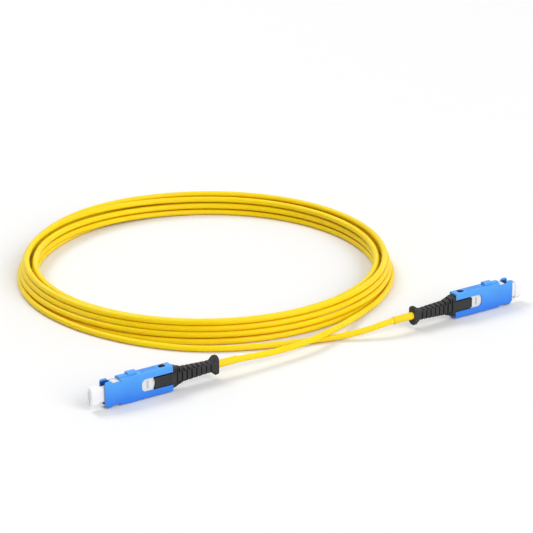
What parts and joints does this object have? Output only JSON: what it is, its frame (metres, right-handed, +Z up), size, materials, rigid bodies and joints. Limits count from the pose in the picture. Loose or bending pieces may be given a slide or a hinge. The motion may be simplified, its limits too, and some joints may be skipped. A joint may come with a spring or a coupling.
{
  "type": "duplex fibre patch cord",
  "caption": "Coiled yellow duplex fibre patch cord with a blue very-small-form-factor push-pull plug, black segmented boot and white dust cap at each end.",
  "frame": {"origin": "floor under the middle of the line of the two plugs, halfway between their housings", "axes": "+X along the plugs towards the nose of plug b, +Y from the plugs towards the coil, +Z up"},
  "size_m": [0.162, 0.1449, 0.0097],
  "materials": {
    "housing_blue": "satin",
    "body_white": "matte",
    "cap_white": "satin",
    "boot_black": "matte",
    "sleeve_yellow": "satin",
    "cable_yellow": "satin",
    "ferrule_ceramic": "polished",
    "flange_metal": "machined",
    "spring_steel": "drawn",
    "crimp_metal": "plain",
    "fibre_coating": "gloss"
  },
  "bodies": {
    "cord": {"cable_coil": "cable_yellow", "cable_tail_a": "cable_yellow", "cable_tail_b": "cable_yellow", "front_body_a": "body_white", "back_body_a": "body_white", "crimp_ring_a": "crimp_metal", "heat_shrink_sleeve_a": "sleeve_yellow", "ferrule_spring_upper_a": "spring_steel", "fibre_upper_a": "fibre_coating", "ferrule_spring_lower_a": "spring_steel", "fibre_lower_a": "fibre_coating", "front_body_b": "body_white", "back_body_b": "body_white", "crimp_ring_b": "crimp_metal", "heat_shrink_sleeve_b": "sleeve_yellow", "ferrule_spring_upper_b": "spring_steel", "fibre_upper_b": "fibre_coating", "ferrule_spring_lower_b": "spring_steel", "fibre_lower_b": "fibre_coating"},
    "plug_a_shell": {"outer_housing_a": "housing_blue", "strain_relief_boot_a": "boot_black"},
    "plug_a_cap": {"dust_cap_a": "cap_white"},
    "plug_a_ferrule_upper": {"ferrule_upper_a": "ferrule_ceramic", "ferrule_flange_upper_a": "flange_metal"},
    "plug_a_ferrule_lower": {"ferrule_lower_a": "ferrule_ceramic", "ferrule_flange_lower_a": "flange_metal"},
    "plug_b_shell": {"outer_housing_b": "housing_blue", "strain_relief_boot_b": "boot_black"},
    "plug_b_cap": {"dust_cap_b": "cap_white"},
    "plug_b_ferrule_upper": {"ferrule_upper_b": "ferrule_ceramic", "ferrule_flange_upper_b": "flange_metal"},
    "plug_b_ferrule_lower": {"ferrule_lower_b": "ferrule_ceramic", "ferrule_flange_lower_b": "flange_metal"}
  },
  "joints": [
    {"name": "shell_a", "type": "slide", "parent": "cord", "child": "plug_a_shell", "axis": [1, 0, 0], "range_m": [0, 0.0018]},
    {"name": "cap_a", "type": "slide", "parent": "cord", "child": "plug_a_cap", "axis": [-1, 0, 0], "range_m": [0, 0.006]},
    {"name": "ferrule_upper_a", "type": "slide", "parent": "cord", "child": "plug_a_ferrule_upper", "axis": [1, 0, 0], "range_m": [0, 0.0006], "stiffness_N_per_m": 1500, "deforming": ["ferrule_spring_upper_a", "fibre_upper_a"]},
    {"name": "ferrule_lower_a", "type": "slide", "parent": "cord", "child": "plug_a_ferrule_lower", "axis": [1, 0, 0], "range_m": [0, 0.0006], "stiffness_N_per_m": 1500, "deforming": ["ferrule_spring_lower_a", "fibre_lower_a"]},
    {"name": "shell_b", "type": "slide", "parent": "cord", "child": "plug_b_shell", "axis": [-1, 0, 0], "range_m": [0, 0.0018]},
    {"name": "cap_b", "type": "slide", "parent": "cord", "child": "plug_b_cap", "axis": [1, 0, 0], "range_m": [0, 0.006]},
    {"name": "ferrule_upper_b", "type": "slide", "parent": "cord", "child": "plug_b_ferrule_upper", "axis": [-1, 0, 0], "range_m": [0, 0.0006], "stiffness_N_per_m": 1500, "deforming": ["ferrule_spring_upper_b", "fibre_upper_b"]},
    {"name": "ferrule_lower_b", "type": "slide", "parent": "cord", "child": "plug_b_ferrule_lower", "axis": [-1, 0, 0], "range_m": [0, 0.0006], "stiffness_N_per_m": 1500, "deforming": ["ferrule_spring_lower_b", "fibre_lower_b"]}
  ]
}
